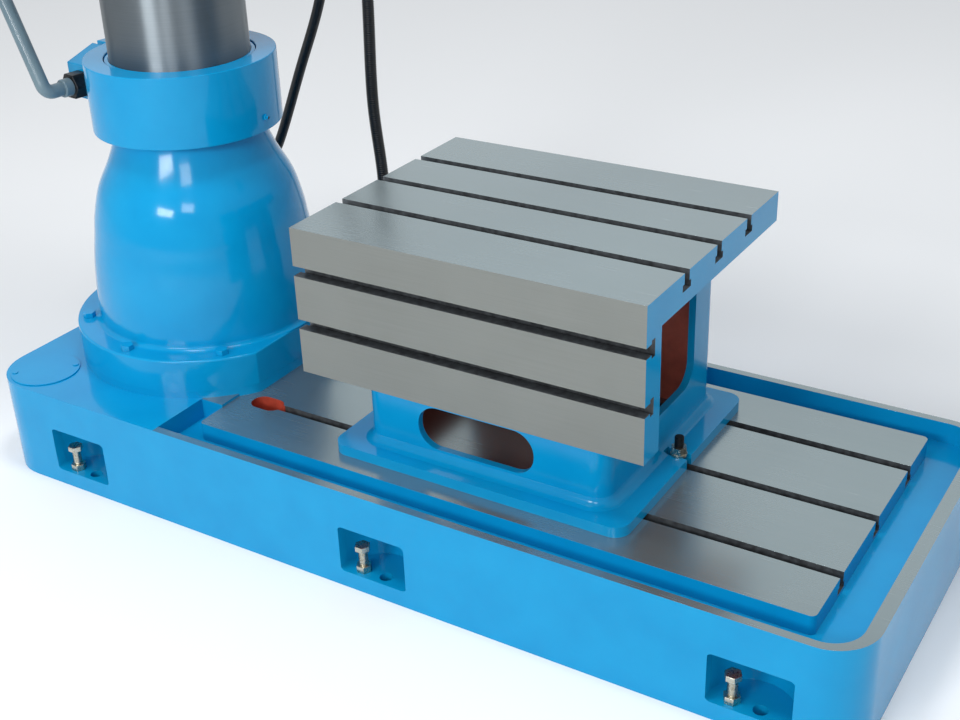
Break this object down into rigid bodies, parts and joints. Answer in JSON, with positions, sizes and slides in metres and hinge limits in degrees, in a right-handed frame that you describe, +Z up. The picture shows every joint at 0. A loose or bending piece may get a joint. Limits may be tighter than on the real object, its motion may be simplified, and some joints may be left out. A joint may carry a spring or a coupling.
{
  "type": "radial arm drill",
  "caption": "Radial drilling machine: ground column on a slotted base, box table, arm that lifts and swings, and a drill head with quill and spindle that travels along it.",
  "frame": {"origin": "on the floor under the column's axis", "axes": "+X along the base towards the table, +Y to the back, +Z up the column"},
  "size_m": [1.65, 0.622, 1.992],
  "materials": {
    "blue_enamel": "gloss enamel",
    "ground_steel": "ground",
    "zinc": "zinc plated",
    "black": "black plastic",
    "black_steel": "black oxide",
    "bronze": "machined",
    "grey_enamel": "satin enamel",
    "green": "moulded",
    "red": "moulded"
  },
  "bodies": {
    "base": {"base_casting": "blue_enamel", "levelling_screws": "zinc", "sump_cover": "blue_enamel", "pedestal": "blue_enamel", "pedestal_bolts": "blue_enamel", "thrust_bearing": "ground_steel", "clamp_ring": "blue_enamel", "oil_nipple": "bronze", "coolant_pump": "blue_enamel", "pump_box": "black", "elbow_box": "black", "pump_conduit": "black", "supply_conduit": "black"},
    "table": {"table_casting": "blue_enamel", "table_bolts": "zinc", "table_nuts": "zinc"},
    "column_lever": {"clamp_screw": "black_steel", "clamp_nut": "black_steel", "clamp_lever": "grey_enamel"},
    "column": {"column": "ground_steel", "column_key": "ground_steel", "lift_housing": "blue_enamel", "conduit_glands": "black", "housing_lid": "blue_enamel", "lift_motor": "blue_enamel"},
    "lift_screw": {"lift_screw": "ground_steel", "lift_gear": "ground_steel"},
    "lift_rotor": {"lift_pinion": "ground_steel"},
    "arm": {"arm_casting": "blue_enamel", "lift_nut": "bronze", "arm_rack": "ground_steel", "arm_end_cover": "blue_enamel", "cabinet": "blue_enamel", "cabinet_cover": "blue_enamel"},
    "arm_lever": {"arm_clamp": "ground_steel"},
    "switch": {"main_switch": "black"},
    "head": {"head_casting": "blue_enamel", "head_keepers": "ground_steel", "head_cover": "blue_enamel", "spindle_cap": "blue_enamel", "drive_motor": "blue_enamel", "motor_cowl": "blue_enamel", "motor_box": "blue_enamel", "button_panel": "grey_enamel"},
    "drive_gear": {"drive_gear": "ground_steel"},
    "motor_rotor": {"motor_pinion": "ground_steel"},
    "quill": {"quill": "ground_steel", "spindle_bearings": "ground_steel"},
    "spindle": {"spindle": "ground_steel"},
    "feed_capstan": {"feed_hub": "black_steel", "feed_handles": "black"},
    "traverse_wheel": {"traverse_wheel": "black_steel"},
    "fine_wheel": {"fine_wheel": "black_steel"},
    "speed_lever": {"speed_lever": "black_steel"},
    "range_lever": {"range_lever": "black_steel"},
    "head_lever": {"head_clamp": "black_steel"},
    "start_button": {"start_button": "green"},
    "stop_button": {"stop_button": "red"},
    "up_button": {"up_button": "black"},
    "down_button": {"down_button": "black"}
  },
  "joints": [
    {"name": "arm_swing", "type": "hinge", "parent": "base", "child": "column", "pos_m": [0, 0, 0.5], "axis": [0, 0, 1], "range_deg": [-180, 90], "deforming": ["pump_conduit", "supply_conduit"]},
    {"name": "arm_lift", "type": "slide", "parent": "column", "child": "arm", "axis": [0, 0, 1], "range_m": [-0.2, 0.24]},
    {"name": "lift_screw_turn", "type": "hinge", "parent": "column", "child": "lift_screw", "pos_m": [-0.13683, 0.079, 1.2], "axis": [0, 0, 1], "continuous": true},
    {"name": "lift_motor_turn", "type": "hinge", "parent": "column", "child": "lift_rotor", "pos_m": [-0.0511, 0.0295, 1.7], "axis": [0, 0, 1], "continuous": true},
    {"name": "head_traverse", "type": "slide", "parent": "arm", "child": "head", "axis": [1, 0, 0], "range_m": [-0.2, 0.45]},
    {"name": "traverse_turn", "type": "hinge", "parent": "head", "child": "traverse_wheel", "pos_m": [0.492, -0.2, 1.26], "axis": [0, 1, 0], "continuous": true},
    {"name": "quill_feed", "type": "slide", "parent": "head", "child": "quill", "axis": [0, 0, -1], "range_m": [0, 0.2]},
    {"name": "feed_turn", "type": "hinge", "parent": "head", "child": "feed_capstan", "pos_m": [0.685, -0.2, 1.115], "axis": [0, -1, 0], "range_deg": [-15, 305]},
    {"name": "spindle_turn", "type": "hinge", "parent": "quill", "child": "spindle", "pos_m": [0.6, 0, 1], "axis": [0, 0, 1], "continuous": true},
    {"name": "drive_gear_turn", "type": "hinge", "parent": "head", "child": "drive_gear", "pos_m": [0.6, 0, 1.3], "axis": [0, 0, 1], "continuous": true},
    {"name": "motor_turn", "type": "hinge", "parent": "head", "child": "motor_rotor", "pos_m": [0.677, -0.087, 1.3], "axis": [0, 0, 1], "continuous": true},
    {"name": "fine_feed_turn", "type": "hinge", "parent": "head", "child": "fine_wheel", "pos_m": [0.78, -0.085, 1.115], "axis": [1, 0, 0], "continuous": true},
    {"name": "speed_select", "type": "hinge", "parent": "head", "child": "speed_lever", "pos_m": [0.612, -0.18, 1.322], "axis": [0, 1, 0], "range_deg": [-30, 30]},
    {"name": "range_select", "type": "hinge", "parent": "head", "child": "range_lever", "pos_m": [0.716, -0.18, 1.322], "axis": [0, 1, 0], "range_deg": [-30, 30]},
    {"name": "head_clamp_turn", "type": "hinge", "parent": "head", "child": "head_lever", "pos_m": [0.429, 0, 1.2], "axis": [1, 0, 0], "range_deg": [-40, 40]},
    {"name": "arm_clamp_turn", "type": "hinge", "parent": "arm", "child": "arm_lever", "pos_m": [-0.04, -0.171, 1.19], "axis": [-1, 0, 0], "range_deg": [0, 60]},
    {"name": "column_clamp_turn", "type": "hinge", "parent": "base", "child": "column_lever", "pos_m": [-0.17809, -0.04566, 0.551], "axis": [-0.1392, -0.9903, 0], "range_deg": [0, 60]},
    {"name": "main_switch_turn", "type": "hinge", "parent": "arm", "child": "switch", "pos_m": [-0.286, -0.14, 1.24], "axis": [0, -1, 0], "range_deg": [0, 90]},
    {"name": "table_slide", "type": "slide", "parent": "base", "child": "table", "axis": [1, 0, 0], "range_m": [-0.1, 0.2]},
    {"name": "start_press", "type": "slide", "parent": "head", "child": "start_button", "axis": [0, 1, 0], "range_m": [0, 0.005], "stiffness_N_per_m": 900},
    {"name": "stop_press", "type": "slide", "parent": "head", "child": "stop_button", "axis": [0, 1, 0], "range_m": [0, 0.005], "stiffness_N_per_m": 900},
    {"name": "up_press", "type": "slide", "parent": "head", "child": "up_button", "axis": [0, 1, 0], "range_m": [0, 0.005], "stiffness_N_per_m": 900},
    {"name": "down_press", "type": "slide", "parent": "head", "child": "down_button", "axis": [0, 1, 0], "range_m": [0, 0.005], "stiffness_N_per_m": 900}
  ],
  "couplings": [
    {"joint": "lift_screw_turn", "follows": "arm_lift", "rad_per_m": 523.6},
    {"joint": "lift_motor_turn", "follows": "arm_lift", "rad_per_m": -952},
    {"joint": "traverse_turn", "follows": "head_traverse", "rad_per_m": -41.888},
    {"joint": "feed_turn", "follows": "quill_feed", "rad_per_m": 26.18},
    {"joint": "drive_gear_turn", "follows": "spindle_turn", "ratio": 1},
    {"joint": "motor_turn", "follows": "spindle_turn", "ratio": -0.7647}
  ]
}
